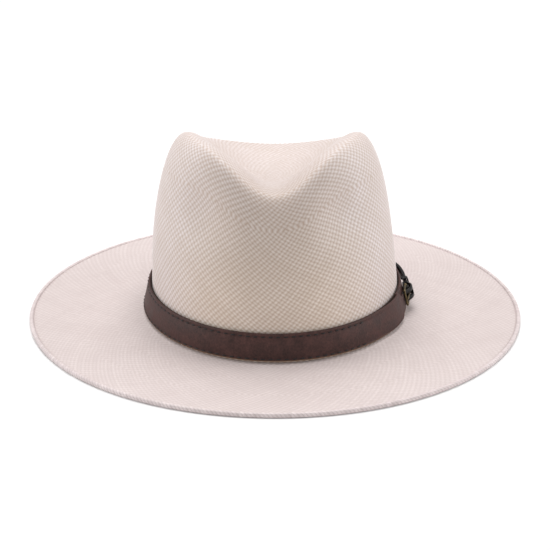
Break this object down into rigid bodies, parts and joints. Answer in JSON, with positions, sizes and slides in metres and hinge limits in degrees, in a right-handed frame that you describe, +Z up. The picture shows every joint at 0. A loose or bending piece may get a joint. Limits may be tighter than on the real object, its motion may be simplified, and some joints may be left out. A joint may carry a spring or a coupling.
{
  "type": "panama hat",
  "caption": "Woven straw hat with a pinched, dented crown, wide flat brim, stitched leather belt band with a small buckle, and an inner sweatband.",
  "frame": {"origin": "centre of the brim, on the surface that the brim rests on", "axes": "+Z up, the front of the hat faces -Y, the buckle is on the +X side"},
  "size_m": [0.312, 0.3488, 0.1246],
  "materials": {
    "straw": "woven toquilla straw, matte",
    "straw_edge": "plaited straw, matte",
    "sweat_leather": "smooth sheepskin, satin",
    "reed": "matte",
    "sweat_thread": "twisted thread",
    "tape": "ribbed tape",
    "ribbon": "satin ribbon",
    "band_leather": "grained, satin",
    "band_lining": "raw suede, matte",
    "band_thread": "waxed thread",
    "brass": "antique, satin"
  },
  "bodies": {
    "hat": {"straw_body": "straw", "brim_edge_braid": "straw_edge", "sweatband": "sweat_leather", "sweatband_reed": "reed", "sweatband_stitching": "sweat_thread", "sweatband_seam_tab": "tape", "sweatband_bow": "ribbon", "sweatband_bow_knot": "ribbon"},
    "hatband": {"hatband_strap": "band_leather", "hatband_lining": "band_lining", "hatband_upper_stitching": "band_thread", "hatband_lower_stitching": "band_thread", "buckle_chape": "band_leather", "chape_stitches": "band_thread", "keeper_loop": "band_leather"},
    "frame": {"buckle_frame": "brass"},
    "prong": {"buckle_prong": "brass"}
  },
  "joints": [
    {"name": "hatband_lift", "type": "slide", "parent": "hat", "child": "hatband", "axis": [0, 0, 1], "range_m": [0, 0.13]},
    {"name": "frame_hinge", "type": "hinge", "parent": "hatband", "child": "frame", "pos_m": [0.08376, -0.00872, 0.01532], "axis": [-0.2422, 0.0146, 0.9701], "range_deg": [0, 35]},
    {"name": "prong_hinge", "type": "hinge", "parent": "frame", "child": "prong", "pos_m": [0.08376, -0.00872, 0.01532], "axis": [-0.2422, 0.0146, 0.9701], "range_deg": [0, 20]}
  ]
}
